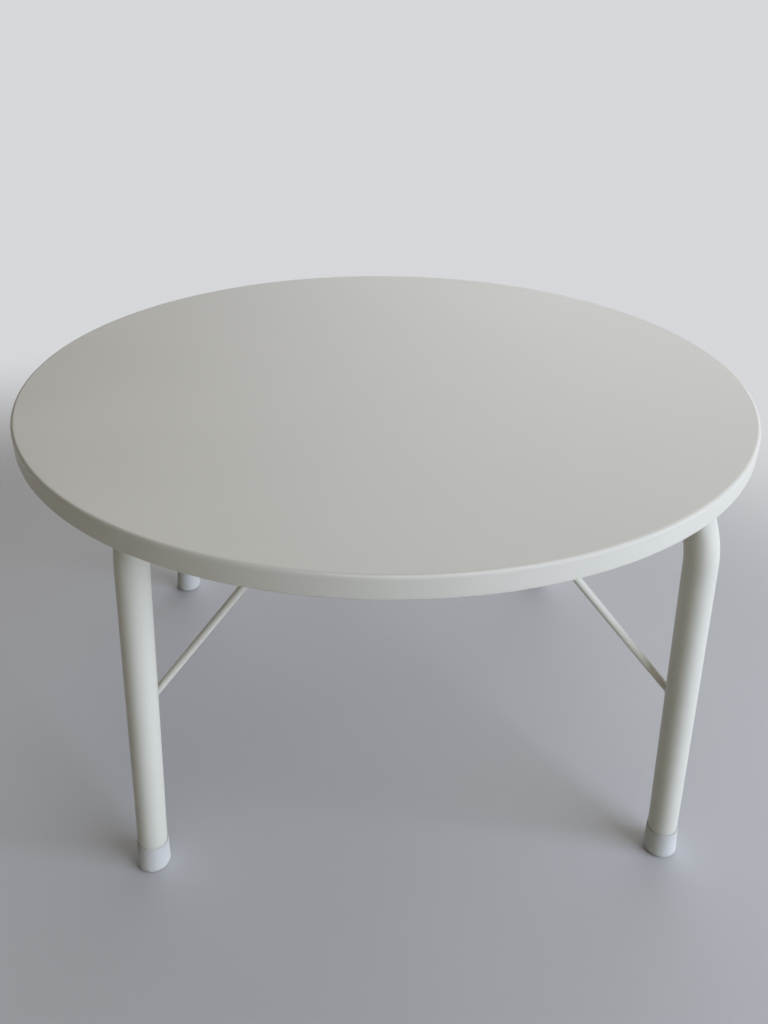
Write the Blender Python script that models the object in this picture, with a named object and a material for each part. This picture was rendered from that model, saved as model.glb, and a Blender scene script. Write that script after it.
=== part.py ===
"""A round folding camping table, built piece by piece.

A pressed steel pan makes the top. Two bent tube frames turn in saddles under it and
fold inwards, and four wire stays lock their legs. Metres, +Z up. The origin is on the
floor under the middle of the top, X runs from the left legs to the right legs, and
-Y is the front.
"""

import math

import bmesh
import bpy
from mathutils import Matrix, Vector

# Clearances and overruns
TOUCH_GAP = 0.0003
CUT_OVERRUN = 0.002
WELD_DEPTH = 0.0005
SHARP_ANGLE = math.radians(35)

# Top pan, pressed from one sheet
TOP_DIAMETER = 0.600
TOP_HEIGHT = 0.356
SHEET = 0.0012
SKIRT_HEIGHT = 0.017
RIM_RADIUS = 0.003
HEM_WIDTH = 0.006
RIM_STEPS = 3
TOP_SEGMENTS = 72

# Leg frames, bent from round tube
TUBE_DIAMETER = 0.024
TUBE_WALL = 0.0015
TUBE_SIDES = 20
LEG_INSET = 0.098
BEND_RADIUS = 0.0375
BEND_STEPS = 6
FRAME_DROP = 0.0094
HINGE_INSET = 0.1071
FOOT_SPREAD = 0.0231
FRAME_OFFSET = 0.032

# Foot caps, pushed over the tube ends
CAP_WALL = 0.0012
CAP_HEIGHT = 0.028
CAP_SOLE = 0.004
CAP_LIP = 0.0006
CAP_SOLE_RADIUS = 0.004
CAP_SIDES = 20
CAP_SOLE_STEPS = 3

# Wire stays
STAY_DIAMETER = 0.006
STAY_BEND_RADIUS = 0.004
STAY_BEND_STEPS = 4
STAY_SIDES = 10
STAY_GAP = 0.0002
PIN_DROP = 0.0043
PIN_SPACING = 0.114
PIN_LENGTH = 0.0185
PIN_HEAD_DIAMETER = 0.008
PIN_HEAD_LENGTH = 0.0025
PIN_HEAD_STEP = 0.0002
HOOK_HEIGHT = 0.161
HOOK_REACH = 0.0145
HOOK_CHAMFER = 0.0008
HOOK_HOLE_DIAMETER = 0.0076

# Stay clips, folded from steel strip
CLIP_SHEET = 0.0012
CLIP_WIDTH = 0.007
CLIP_EAR = 0.011
CLIP_FROM_STAY = 0.0115
CLIP_STUD_INSET = 0.005
CLIP_STUD_DIAMETER = 0.004
CLIP_NUT_WIDTH = 0.007
CLIP_NUT_HEIGHT = 0.0032

# Saddles and their plastic bearing blocks
SADDLE_SPACING = 0.200
SADDLE_SHEET = 0.0015
SADDLE_WIDTH = 0.016
SADDLE_EAR = 0.0169
BLOCK_WALL = 0.002
BLOCK_WIDTH = 0.022
BLOCK_SLIT = 0.002
SADDLE_STUD_INSET = 0.0085
SADDLE_STUD_DIAMETER = 0.005
SADDLE_NUT_WIDTH = 0.008
SADDLE_NUT_HEIGHT = 0.004

# Studs and nuts
STUD_SIDES = 12
STUD_END = 0.001
HEX_SIDES = 6
CLIP_ARC_STEPS = 8
SADDLE_ARC_STEPS = 12
BLOCK_ARC_STEPS = 5
BLOCK_BORE_STEPS = 20

# Colours, roughness and metallic values
PAINT = ((0.62, 0.60, 0.57), 0.42, 0.0)
TUBE_PAINT = ((0.66, 0.65, 0.62), 0.35, 0.0)
CAP_PLASTIC = ((0.72, 0.74, 0.76), 0.45, 0.0)
BLOCK_PLASTIC = ((0.70, 0.72, 0.73), 0.50, 0.0)
WIRE_PAINT = ((0.60, 0.59, 0.56), 0.38, 0.0)
ZINC = ((0.62, 0.62, 0.60), 0.35, 1.0)

# Worked out from the sizes above
TUBE_RADIUS = TUBE_DIAMETER / 2
STAY_RADIUS = STAY_DIAMETER / 2
CAP_RADIUS = TUBE_RADIUS + TOUCH_GAP + CAP_WALL
PANEL_UNDERSIDE = TOP_HEIGHT - SHEET
HINGE_HEIGHT = PANEL_UNDERSIDE - FRAME_DROP - TUBE_RADIUS
LEG_SPACING = TOP_DIAMETER - 2 * LEG_INSET
HINGE_X = TOP_DIAMETER / 2 - HINGE_INSET
FOOT_X = HINGE_X + FOOT_SPREAD
LEAN = math.atan2(FOOT_X - HINGE_X, HINGE_HEIGHT)
LEG_LENGTH = math.hypot(FOOT_X - HINGE_X, HINGE_HEIGHT)
PIN_HEIGHT = PANEL_UNDERSIDE - PIN_DROP
PIN_X = PIN_SPACING / 2
HOOK_X = HINGE_X + (HINGE_HEIGHT - HOOK_HEIGHT) * math.tan(LEAN)
HOOK_ALONG_LEG = (HINGE_HEIGHT - HOOK_HEIGHT) / math.cos(LEAN)
STAY_LENGTH = math.hypot(HOOK_X - PIN_X, PIN_HEIGHT - HOOK_HEIGHT)
STAY_ANGLE = math.atan2(HOOK_X - PIN_X, PIN_HEIGHT - HOOK_HEIGHT)
STAY_FROM_LEG = TUBE_RADIUS + STAY_RADIUS + STAY_GAP
BLOCK_RADIUS = TUBE_RADIUS + TOUCH_GAP + BLOCK_WALL
SADDLE_INNER = BLOCK_RADIUS + TOUCH_GAP
CLIP_INNER = STAY_RADIUS + TOUCH_GAP
SADDLE_LENGTH = 2 * (SADDLE_INNER + SADDLE_SHEET + SADDLE_EAR)
SADDLE_STUD_SPACING = SADDLE_LENGTH - 2 * SADDLE_STUD_INSET
CLIP_LENGTH = 2 * (CLIP_INNER + CLIP_SHEET + CLIP_EAR)
CLIP_STUD_SPACING = CLIP_LENGTH - 2 * CLIP_STUD_INSET

SIDES = {"left": -1, "right": 1}
ENDS = {"front": -1, "rear": 1}


def clear_scene():
    for old in list(bpy.data.objects):
        bpy.data.objects.remove(old)


def material(name, finish):
    """A painted, plastic or plated surface from its colour, roughness and metallic value."""
    colour, roughness, metallic = finish
    made = bpy.data.materials.new(name)
    made.use_nodes = True
    shader = made.node_tree.nodes["Principled BSDF"]
    shader.inputs["Base Color"].default_value = (*colour, 1)
    shader.inputs["Roughness"].default_value = roughness
    shader.inputs["Metallic"].default_value = metallic
    made.diffuse_color = (*colour, 1)
    return made


def add_object(name, mesh, finish, parent=None):
    piece = bpy.data.objects.new(name, mesh)
    bpy.context.scene.collection.objects.link(piece)
    if not mesh.materials:
        mesh.materials.append(finish)
    piece.parent = parent
    return piece


def add_hinge(name, place, turn):
    """An empty on a hinge's axis. Its pieces hang from it in the hinge's own axes."""
    hinge = bpy.data.objects.new(name, None)
    bpy.context.scene.collection.objects.link(hinge)
    hinge.location = place
    hinge.rotation_euler = (0, turn, 0)
    return hinge


def finish_mesh(name, bm):
    """Turns a bmesh into a mesh whose faces point out and whose round sides are smooth."""
    bmesh.ops.recalc_face_normals(bm, faces=bm.faces)
    if bm.calc_volume(signed=True) < 0:
        bmesh.ops.reverse_faces(bm, faces=bm.faces)
    mesh = bpy.data.meshes.new(name)
    bm.to_mesh(mesh)
    bm.free()
    mesh.shade_smooth()
    mesh.set_sharp_from_angle(angle=SHARP_ANGLE)
    return mesh


def join_rings(bm, rings, closed):
    """Bridges each ring of vertices to the next. A ring of one vertex is a point."""
    pairs = list(zip(rings, rings[1:] + rings[:1]))
    for low, high in pairs if closed else pairs[:-1]:
        count = max(len(low), len(high))
        for i in range(count):
            j = (i + 1) % count
            if len(low) == 1:
                bm.faces.new((low[0], high[i], high[j]))
            elif len(high) == 1:
                bm.faces.new((low[i], high[0], low[j]))
            else:
                bm.faces.new((low[i], high[i], high[j], low[j]))


def arc(centre, radius, start, end, steps):
    """Points from one angle to another, in degrees, in the plane of a flat outline."""
    turns = [math.radians(start + (end - start) * i / steps) for i in range(steps + 1)]
    return [(centre[0] + radius * math.cos(t), centre[1] + radius * math.sin(t)) for t in turns]


def turned_mesh(name, outline, segments):
    """Turns a closed outline of radii and heights about Z."""
    bm = bmesh.new()
    rings = []
    for radius, height in outline:
        if radius == 0:
            rings.append([bm.verts.new((0, 0, height))])
            continue
        turns = [math.tau * i / segments for i in range(segments)]
        ring = [bm.verts.new((radius * math.cos(t), radius * math.sin(t), height)) for t in turns]
        rings.append(ring)
    closed = outline[0][0] > 0
    join_rings(bm, rings, closed)
    return finish_mesh(name, bm)


def extruded_mesh(name, outline, width):
    """An outline in X and Z, extruded by its width along Y and centred on it."""
    bm = bmesh.new()
    face = bm.faces.new([bm.verts.new((x, -width / 2, z)) for x, z in outline])
    grown = bmesh.ops.extrude_face_region(bm, geom=[face])
    moved = [v for v in grown["geom"] if isinstance(v, bmesh.types.BMVert)]
    bmesh.ops.translate(bm, verts=moved, vec=(0, width, 0))
    return finish_mesh(name, bm)


def path_directions(points):
    """The tangent at each point of a path, halfway between its neighbouring runs."""
    runs = [b - a for a, b in zip(points, points[1:])]
    found = [runs[0].normalized()]
    for before, after in zip(runs, runs[1:]):
        found.append((before.normalized() + after.normalized()).normalized())
    found.append(runs[-1].normalized())
    return found


def sweep_rings(bm, points, radii, sides, flat_normal):
    """A circle at each point of a path that lies in one plane with the given normal."""
    rings = []
    for point, along, radius in zip(points, path_directions(points), radii):
        across = flat_normal.cross(along).normalized()
        ring = []
        for i in range(sides):
            turn = math.tau * i / sides
            offset = across * math.cos(turn) + flat_normal * math.sin(turn)
            ring.append(bm.verts.new(point + offset * radius))
        rings.append(ring)
    return rings


def bend_points(corner, before, after, radius, steps):
    """A round bend that replaces a square corner between two directions."""
    start = corner - before * radius
    centre = start + after * radius
    found = []
    for i in range(steps + 1):
        turn = math.pi / 2 * i / steps
        found.append(centre - after * radius * math.cos(turn) + before * radius * math.sin(turn))
    return found


def add_cutter(name, mesh, matrix):
    cutter = bpy.data.objects.new(name, mesh)
    bpy.context.scene.collection.objects.link(cutter)
    cutter.matrix_world = matrix
    cutter.hide_render = True
    cutter.display_type = "WIRE"
    return cutter


def add_boolean(piece, cutter, operation):
    modifier = piece.modifiers.new(cutter.name, "BOOLEAN")
    modifier.operation = operation
    modifier.solver = "EXACT"
    modifier.object = cutter


def round_bar_mesh(name, radius, low, high, sides):
    """A plain round bar along Z, between two heights."""
    return turned_mesh(name, [(0, high), (radius, high), (radius, low), (0, low)], sides)


def frame_centre(side):
    """The two frames sit apart along Y, so that their folded legs lie side by side."""
    return -SIDES[side] * FRAME_OFFSET / 2


def leg_y(side, end):
    return frame_centre(side) + ENDS[end] * LEG_SPACING / 2


def stay_y(side, end):
    return leg_y(side, end) - ENDS[end] * STAY_FROM_LEG


def clip_y(side, end):
    return stay_y(side, end) - ENDS[end] * CLIP_FROM_STAY


def saddle_y(side, end):
    return frame_centre(side) + ENDS[end] * SADDLE_SPACING / 2


def stud_places():
    """Where the weld studs stand under the pan, with each one's diameter and length."""
    saddle_reach = TOUCH_GAP + SADDLE_SHEET + TOUCH_GAP + SADDLE_NUT_HEIGHT + STUD_END
    clip_reach = TOUCH_GAP + CLIP_SHEET + TOUCH_GAP + CLIP_NUT_HEIGHT + STUD_END
    places = []
    for side, sign in SIDES.items():
        for end in ENDS:
            for way in (-1, 1):
                x = sign * HINGE_X + way * SADDLE_STUD_SPACING / 2
                places.append((x, saddle_y(side, end), SADDLE_STUD_DIAMETER, saddle_reach))
                x = sign * PIN_X + way * CLIP_STUD_SPACING / 2
                places.append((x, clip_y(side, end), CLIP_STUD_DIAMETER, clip_reach))
    return places


def pan_outline():
    """Half of the pan's section: the panel, the rounded rim, the skirt and its hem."""
    radius = TOP_DIAMETER / 2
    corner = (radius - RIM_RADIUS, TOP_HEIGHT - RIM_RADIUS)
    skirt_foot = TOP_HEIGHT - SKIRT_HEIGHT
    outline = [(0, TOP_HEIGHT)]
    outline += arc(corner, RIM_RADIUS, 90, 0, RIM_STEPS)
    outline += [(radius, skirt_foot), (radius - HEM_WIDTH, skirt_foot)]
    outline += [(radius - HEM_WIDTH, skirt_foot + SHEET), (radius - SHEET, skirt_foot + SHEET)]
    outline += arc(corner, RIM_RADIUS - SHEET, 0, 90, RIM_STEPS)
    outline.append((0, PANEL_UNDERSIDE))
    return outline


def make_pan(paint):
    """The top, with the weld studs that carry the saddles and clips."""
    pan = add_object("top_pan", turned_mesh("top_pan", pan_outline(), TOP_SEGMENTS), paint)
    bm = bmesh.new()
    for x, y, diameter, reach in stud_places():
        bar = round_bar_mesh("stud", diameter / 2, -reach, WELD_DEPTH, STUD_SIDES)
        bar.transform(Matrix.Translation((x, y, PANEL_UNDERSIDE)))
        bm.from_mesh(bar)
    studs = add_cutter("weld_studs", finish_mesh("weld_studs", bm), Matrix())
    add_boolean(pan, studs, "UNION")


def frame_path():
    """The tube's centre line from one foot to the other, in the frame's own plane."""
    half = LEG_SPACING / 2
    foot = Vector((0, -half, -LEG_LENGTH + (CAP_SOLE + TOUCH_GAP) / math.cos(LEAN)))
    foot.z += TUBE_RADIUS * math.tan(LEAN)
    up, across = Vector((0, 0, 1)), Vector((0, 1, 0))
    first = bend_points(Vector((0, -half, 0)), up, across, BEND_RADIUS, BEND_STEPS)
    second = bend_points(Vector((0, half, 0)), across, -up, BEND_RADIUS, BEND_STEPS)
    return [foot, *first, *second, Vector((0, half, foot.z))]


def frame_mesh():
    """One open-ended tube with its wall, bent into a U."""
    bm = bmesh.new()
    points = frame_path()
    normal = Vector((1, 0, 0))
    outer = sweep_rings(bm, points, [TUBE_RADIUS] * len(points), TUBE_SIDES, normal)
    bore = TUBE_RADIUS - TUBE_WALL
    inner = sweep_rings(bm, points, [bore] * len(points), TUBE_SIDES, normal)
    join_rings(bm, outer + inner[::-1], True)
    return finish_mesh("leg_frame", bm)


def add_frame(side, finish):
    sign = SIDES[side]
    place = (sign * HINGE_X, frame_centre(side), HINGE_HEIGHT)
    hinge = add_hinge(f"{side}_frame_hinge", place, -sign * LEAN)
    frame = add_object(f"{side}_leg_frame", frame_mesh(), finish, hinge)
    for end, way in ENDS.items():
        reach = TUBE_DIAMETER
        drill = round_bar_mesh("hook_hole", HOOK_HOLE_DIAMETER / 2, 0, reach, STUD_SIDES)
        aim = Matrix.Rotation(way * math.pi / 2, 4, "X")
        spot = Matrix.Translation((0, way * LEG_SPACING / 2, -HOOK_ALONG_LEG))
        tilt = Matrix.Translation(place) @ Matrix.Rotation(-sign * LEAN, 4, "Y")
        cutter = add_cutter(f"{side}_{end}_hook_hole", drill, tilt @ spot @ aim)
        add_boolean(frame, cutter, "DIFFERENCE")
    return hinge


def cap_ring(bm, radius, height, level):
    """A ring round the leg's axis, square to it, or level with the floor at the sole."""
    ring = []
    for i in range(CAP_SIDES):
        turn = math.tau * i / CAP_SIDES
        x, y = radius * math.cos(turn), radius * math.sin(turn)
        z = height / math.cos(LEAN) + x * math.tan(LEAN) if level else height
        ring.append(bm.verts.new((x, y, z)))
    return ring


def cap_mesh():
    """A cup with a sole cut level with the floor. It leans as the left legs do."""
    bm = bmesh.new()
    outer = CAP_RADIUS
    bore = TUBE_RADIUS + TOUCH_GAP
    rings = [[bm.verts.new((0, 0, 0))]]
    corner = (outer - CAP_SOLE_RADIUS, CAP_SOLE_RADIUS)
    for radius, height in arc(corner, CAP_SOLE_RADIUS, -90, 0, CAP_SOLE_STEPS):
        rings.append(cap_ring(bm, radius, height, True))
    rings.append(cap_ring(bm, outer, CAP_HEIGHT - CAP_LIP, False))
    rings.append(cap_ring(bm, outer - CAP_LIP, CAP_HEIGHT, False))
    rings.append(cap_ring(bm, bore, CAP_HEIGHT, False))
    seat = CAP_SOLE / math.cos(LEAN) + TUBE_RADIUS * math.tan(LEAN)
    rings.append(cap_ring(bm, bore, seat, False))
    rings.append([bm.verts.new((0, 0, seat))])
    join_rings(bm, rings, False)
    return finish_mesh("foot_cap", bm)


def add_caps(side, hinge, finish):
    turn = Matrix.Rotation(math.pi, 4, "Z") if SIDES[side] > 0 else Matrix()
    for end, way in ENDS.items():
        mesh = cap_mesh()
        mesh.transform(turn)
        cap = add_object(f"{side}_{end}_foot_cap", mesh, finish, hinge)
        cap.location = (0, way * LEG_SPACING / 2, -LEG_LENGTH)


def stay_path():
    """The rod's centre line, from the pin's head to the hook's tip, for a front stay."""
    inward, down = Vector((0, 1, 0)), Vector((0, 0, -1))
    top, foot = Vector((0, 0, 0)), Vector((0, 0, -STAY_LENGTH))
    head = inward * PIN_LENGTH
    shelf = inward * (PIN_LENGTH - PIN_HEAD_LENGTH)
    neck = shelf - inward * PIN_HEAD_STEP
    steps = STAY_BEND_STEPS
    upper = bend_points(top, -inward, down, STAY_BEND_RADIUS, steps)
    lower = bend_points(foot, down, -inward, STAY_BEND_RADIUS, steps)
    shoulder = foot - inward * (HOOK_REACH - HOOK_CHAMFER)
    tip = foot - inward * HOOK_REACH
    points = [head, shelf, neck, *upper, *lower, shoulder, tip]
    head_radius = PIN_HEAD_DIAMETER / 2
    plain = len([neck, *upper, *lower, shoulder])
    radii = [head_radius, head_radius, *[STAY_RADIUS] * plain, STAY_RADIUS - HOOK_CHAMFER]
    return points, radii


def stay_mesh(way):
    """One bent rod. Its pin has an upset head, and its hook points at the leg."""
    bm = bmesh.new()
    points, radii = stay_path()
    rings = sweep_rings(bm, points, radii, STAY_SIDES, Vector((1, 0, 0)))
    for ring, flip in ((rings[0], False), (rings[-1], True)):
        bm.faces.new(ring[::-1] if flip else ring)
    join_rings(bm, rings, False)
    if way > 0:
        bmesh.ops.scale(bm, vec=(1, -1, 1), verts=bm.verts)
    return finish_mesh("stay", bm)


def add_stays(side, finish):
    sign = SIDES[side]
    for end, way in ENDS.items():
        place = (sign * PIN_X, stay_y(side, end), PIN_HEIGHT)
        hinge = add_hinge(f"{side}_{end}_stay_hinge", place, -sign * STAY_ANGLE)
        add_object(f"{side}_{end}_stay", stay_mesh(way), finish, hinge)


def strap_outline(inner, sheet, length, drop, steps):
    """A strip that hangs round a bar: two ears under the panel and a loop between them."""
    outer = inner + sheet
    half = length / 2
    low, high = -TOUCH_GAP - sheet, -TOUCH_GAP
    outline = [(-half, high), (-half, low), (-outer, low)]
    outline += arc((0, -drop), outer, 180, 360, steps)
    outline += [(outer, low), (half, low), (half, high), (inner, high)]
    outline += arc((0, -drop), inner, 0, -180, steps)
    outline.append((-inner, high))
    return outline


def add_strap(name, mesh, place, studs, finish):
    """A strap under the panel, with a hole in each ear for its stud."""
    strap = add_object(name, mesh, finish)
    strap.location = place
    spacing, diameter, sheet = studs
    bm = bmesh.new()
    for way in (-1, 1):
        low, high = -TOUCH_GAP - sheet - CUT_OVERRUN, CUT_OVERRUN
        drill = round_bar_mesh("ear_hole", diameter / 2 + TOUCH_GAP, low, high, STUD_SIDES)
        drill.transform(Matrix.Translation((way * spacing / 2, 0, 0)))
        bm.from_mesh(drill)
    holes = add_cutter(f"{name}_holes", finish_mesh("ear_holes", bm), Matrix.Translation(place))
    add_boolean(strap, holes, "DIFFERENCE")
    return strap


def add_clips(side, finish):
    sign = SIDES[side]
    outline = strap_outline(CLIP_INNER, CLIP_SHEET, CLIP_LENGTH, PIN_DROP, CLIP_ARC_STEPS)
    for end in ENDS:
        mesh = extruded_mesh("stay_clip", outline, CLIP_WIDTH)
        place = (sign * PIN_X, clip_y(side, end), PANEL_UNDERSIDE)
        studs = (CLIP_STUD_SPACING, CLIP_STUD_DIAMETER, CLIP_SHEET)
        add_strap(f"{side}_{end}_stay_clip", mesh, place, studs, finish)


def add_saddles(side, finish):
    sign = SIDES[side]
    drop = FRAME_DROP + TUBE_RADIUS
    outline = strap_outline(SADDLE_INNER, SADDLE_SHEET, SADDLE_LENGTH, drop, SADDLE_ARC_STEPS)
    for end in ENDS:
        mesh = extruded_mesh("saddle", outline, SADDLE_WIDTH)
        place = (sign * HINGE_X, saddle_y(side, end), PANEL_UNDERSIDE)
        studs = (SADDLE_STUD_SPACING, SADDLE_STUD_DIAMETER, SADDLE_SHEET)
        add_strap(f"{side}_{end}_saddle", mesh, place, studs, finish)


def block_outline():
    """The bearing block: flat under the panel, bored for the tube and slit at the foot."""
    drop = FRAME_DROP + TUBE_RADIUS
    bore = TUBE_RADIUS + TOUCH_GAP
    half_slit = BLOCK_SLIT / 2
    outer_turn = math.degrees(math.asin(half_slit / BLOCK_RADIUS))
    bore_turn = math.degrees(math.asin(half_slit / bore))
    centre = (0, -drop)
    outline = [(-BLOCK_RADIUS, -TOUCH_GAP)]
    outline += arc(centre, BLOCK_RADIUS, 180, 270 - outer_turn, BLOCK_ARC_STEPS)
    outline += arc(centre, bore, 270 - bore_turn, bore_turn - 90, BLOCK_BORE_STEPS)
    outline += arc(centre, BLOCK_RADIUS, outer_turn - 90, 0, BLOCK_ARC_STEPS)
    outline.append((BLOCK_RADIUS, -TOUCH_GAP))
    return outline


def add_blocks(side, finish):
    for end in ENDS:
        mesh = extruded_mesh("saddle_block", block_outline(), BLOCK_WIDTH)
        block = add_object(f"{side}_{end}_saddle_block", mesh, finish)
        block.location = (SIDES[side] * HINGE_X, saddle_y(side, end), PANEL_UNDERSIDE)


def nut_mesh(width, height, bore):
    """A hexagon nut, hanging down from its top face."""
    corner = width / 2 / math.cos(math.pi / HEX_SIDES)
    bm = bmesh.new()
    rings = [hexagon_ring(bm, corner, 0), hexagon_ring(bm, corner, -height)]
    rings += [bore_ring(bm, bore, -height), bore_ring(bm, bore, 0)]
    join_rings(bm, rings, True)
    return finish_mesh("nut", bm)


def hexagon_ring(bm, corner, height):
    """Six corners and two points along each flat, to match the bore's sides."""
    corners = [
        Vector((corner * math.cos(t), corner * math.sin(t), height))
        for t in (math.tau * i / HEX_SIDES for i in range(HEX_SIDES))
    ]
    points = []
    for a, b in zip(corners, corners[1:] + corners[:1]):
        points += [a, (a + b) / 2]
    return [bm.verts.new(p) for p in points]


def bore_ring(bm, radius, height):
    count = 2 * HEX_SIDES
    turns = [math.tau * i / count for i in range(count)]
    return [bm.verts.new((radius * math.cos(t), radius * math.sin(t), height)) for t in turns]


def add_nuts(name, mesh, x, y, sheet, finish):
    for letter, spot_x in zip(("inner", "outer"), x):
        nut = add_object(f"{name}_{letter}_nut", mesh, finish)
        nut.location = (spot_x, y, PANEL_UNDERSIDE - TOUCH_GAP - sheet - TOUCH_GAP)


def stud_xs(sign, middle, spacing):
    """The inner stud's X and then the outer one's, on one side of the table."""
    return [sign * (middle - spacing / 2), sign * (middle + spacing / 2)]


def add_all_nuts(side, finish):
    sign = SIDES[side]
    saddle_bore = SADDLE_STUD_DIAMETER / 2 + TOUCH_GAP
    clip_bore = CLIP_STUD_DIAMETER / 2 + TOUCH_GAP
    for end in ENDS:
        mesh = nut_mesh(SADDLE_NUT_WIDTH, SADDLE_NUT_HEIGHT, saddle_bore)
        x = stud_xs(sign, HINGE_X, SADDLE_STUD_SPACING)
        add_nuts(f"{side}_{end}_saddle", mesh, x, saddle_y(side, end), SADDLE_SHEET, finish)
        mesh = nut_mesh(CLIP_NUT_WIDTH, CLIP_NUT_HEIGHT, clip_bore)
        x = stud_xs(sign, PIN_X, CLIP_STUD_SPACING)
        add_nuts(f"{side}_{end}_clip", mesh, x, clip_y(side, end), CLIP_SHEET, finish)


def main():
    clear_scene()
    pan_paint = material("pan_paint", PAINT)
    tube_paint = material("tube_paint", TUBE_PAINT)
    wire_paint = material("wire_paint", WIRE_PAINT)
    cap_plastic = material("cap_plastic", CAP_PLASTIC)
    block_plastic = material("block_plastic", BLOCK_PLASTIC)
    zinc = material("zinc_plate", ZINC)
    make_pan(pan_paint)
    for side in SIDES:
        hinge = add_frame(side, tube_paint)
        add_caps(side, hinge, cap_plastic)
        add_stays(side, wire_paint)
        add_saddles(side, pan_paint)
        add_blocks(side, block_plastic)
        add_clips(side, pan_paint)
        add_all_nuts(side, zinc)


main()
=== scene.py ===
"""The looks of a round folding camping table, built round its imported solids.

Every piece is made again with fine edges, real bends and threads, in the place that its
solid holds, and gets its own paint, plastic or plating. Metres, +Z up, front is -Y.
"""

import math

import bmesh
import bpy
from mathutils import Matrix, Vector


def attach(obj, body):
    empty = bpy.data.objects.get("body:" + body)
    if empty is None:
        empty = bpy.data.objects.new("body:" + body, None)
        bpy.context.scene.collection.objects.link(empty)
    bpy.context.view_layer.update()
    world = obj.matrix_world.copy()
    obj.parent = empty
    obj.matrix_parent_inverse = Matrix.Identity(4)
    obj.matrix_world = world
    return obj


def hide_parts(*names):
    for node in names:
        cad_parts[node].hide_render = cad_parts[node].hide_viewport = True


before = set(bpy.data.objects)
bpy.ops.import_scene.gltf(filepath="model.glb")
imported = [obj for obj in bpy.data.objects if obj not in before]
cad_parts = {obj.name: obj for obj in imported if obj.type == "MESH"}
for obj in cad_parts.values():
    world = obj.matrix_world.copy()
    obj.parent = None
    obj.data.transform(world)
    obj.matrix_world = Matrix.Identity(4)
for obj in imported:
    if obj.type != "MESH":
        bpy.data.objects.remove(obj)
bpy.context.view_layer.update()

# Sizes shared with the solids
TOUCH_GAP = 0.0003
TOP_RADIUS = 0.300
TOP_HEIGHT = 0.356
SHEET = 0.0012
SKIRT_HEIGHT = 0.017
RIM_RADIUS = 0.003
HEM_WIDTH = 0.006
TUBE_RADIUS = 0.012
TUBE_WALL = 0.0015
LEG_SPACING = 0.404
BEND_RADIUS = 0.0375
FRAME_DROP = 0.0094
HINGE_X = 0.1929
FOOT_X = 0.216
FRAME_OFFSET = 0.032
CAP_RADIUS = 0.0135
CAP_HEIGHT = 0.028
CAP_SOLE = 0.004
STAY_RADIUS = 0.003
STAY_BEND_RADIUS = 0.004
STAY_GAP = 0.0002
PIN_DROP = 0.0043
PIN_X = 0.057
PIN_LENGTH = 0.0185
PIN_HEAD_RADIUS = 0.004
PIN_HEAD_LENGTH = 0.0025
HOOK_HEIGHT = 0.161
HOOK_REACH = 0.0145
HOOK_HOLE_RADIUS = 0.0038
CLIP_SHEET = 0.0012
CLIP_WIDTH = 0.007
CLIP_LENGTH = 0.031
CLIP_FROM_STAY = 0.0115
CLIP_STUD_SPACING = 0.021
CLIP_STUD_RADIUS = 0.002
CLIP_NUT = (0.007, 0.0032)
SADDLE_SPACING = 0.200
SADDLE_SHEET = 0.0015
SADDLE_WIDTH = 0.016
SADDLE_LENGTH = 0.066
BLOCK_WALL = 0.002
BLOCK_WIDTH = 0.022
BLOCK_SLIT = 0.002
SADDLE_STUD_SPACING = 0.049
SADDLE_STUD_RADIUS = 0.0025
SADDLE_NUT = (0.008, 0.004)
STUD_END = 0.001

# Sizes that only the looks have
TOP_SEGMENTS = 288
RIM_STEPS = 12
RIM_INNER_STEPS = 8
HEM_STEPS = 8
HEM_TIP_STEPS = 6
HEM_INNER_STEPS = 4
TUBE_SIDES = 64
TUBE_BEND_STEPS = 24
ROD_SIDES = 28
ROD_BEND_STEPS = 14
CAP_SIDES = 72
CAP_EDGE_STEPS = 10
SMALL_EDGE_STEPS = 4
SUPPORT = 0.0006
HEM_BEND_RADIUS = 0.0018
CAP_SOLE_RADIUS = 0.004
CAP_MOUTH_RADIUS = 0.0127
CAP_LIP_RADIUS = 0.00015
CAP_FLARE = 0.00015
CAP_FLARE_DEPTH = 0.0006
CAP_DISH_RADIUS = 0.007
CAP_DISH_DEPTH = 0.0005
CAP_GATE_RADIUS = 0.0012
HOLE_FLARE = 0.0006
HOLE_SIDES = 48
STRAP_EDGE = 0.00025
STRAP_HOLE_SIDES = 32
STRAP_LOOP_STEPS = 40
STRAP_FOLD_STEPS = 8
STRAP_EDGE_STEPS = 3
STRAP_EDGES = ((0, 1, 1), (90, -1, 1), (180, -1, -1), (270, 1, -1))
EAR_CORNER_TURNS = (0, 22, 44, 66, 90)
CLIP_CORNER = 0.0028
CLIP_FOLD = 0.0013
SADDLE_CORNER = 0.006
SADDLE_FOLD = 0.0026
BLOCK_EDGE = 0.0005
BLOCK_BORE_STEPS = 56
BLOCK_OUTER_STEPS = 20
SADDLE_STUD_PITCH = 0.0008
CLIP_STUD_PITCH = 0.0007
THREAD_SHARE = 0.16
STUD_STEPS_PER_TURN = 6
STUD_SIDES = 24
STUD_POINT_SHARE = 0.72
NUT_SIDES = 72
NUT_FACE_SHARE = 0.93
NUT_CHAMFER = math.radians(30)
NUT_SINK_SHARE = 0.12
NUT_DEPTH_SHARES = (0, 0.06, 0.12, 0.2, 0.5, 0.8, 0.88, 0.94, 1)
SHARP_ANGLE = math.radians(32)

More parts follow.
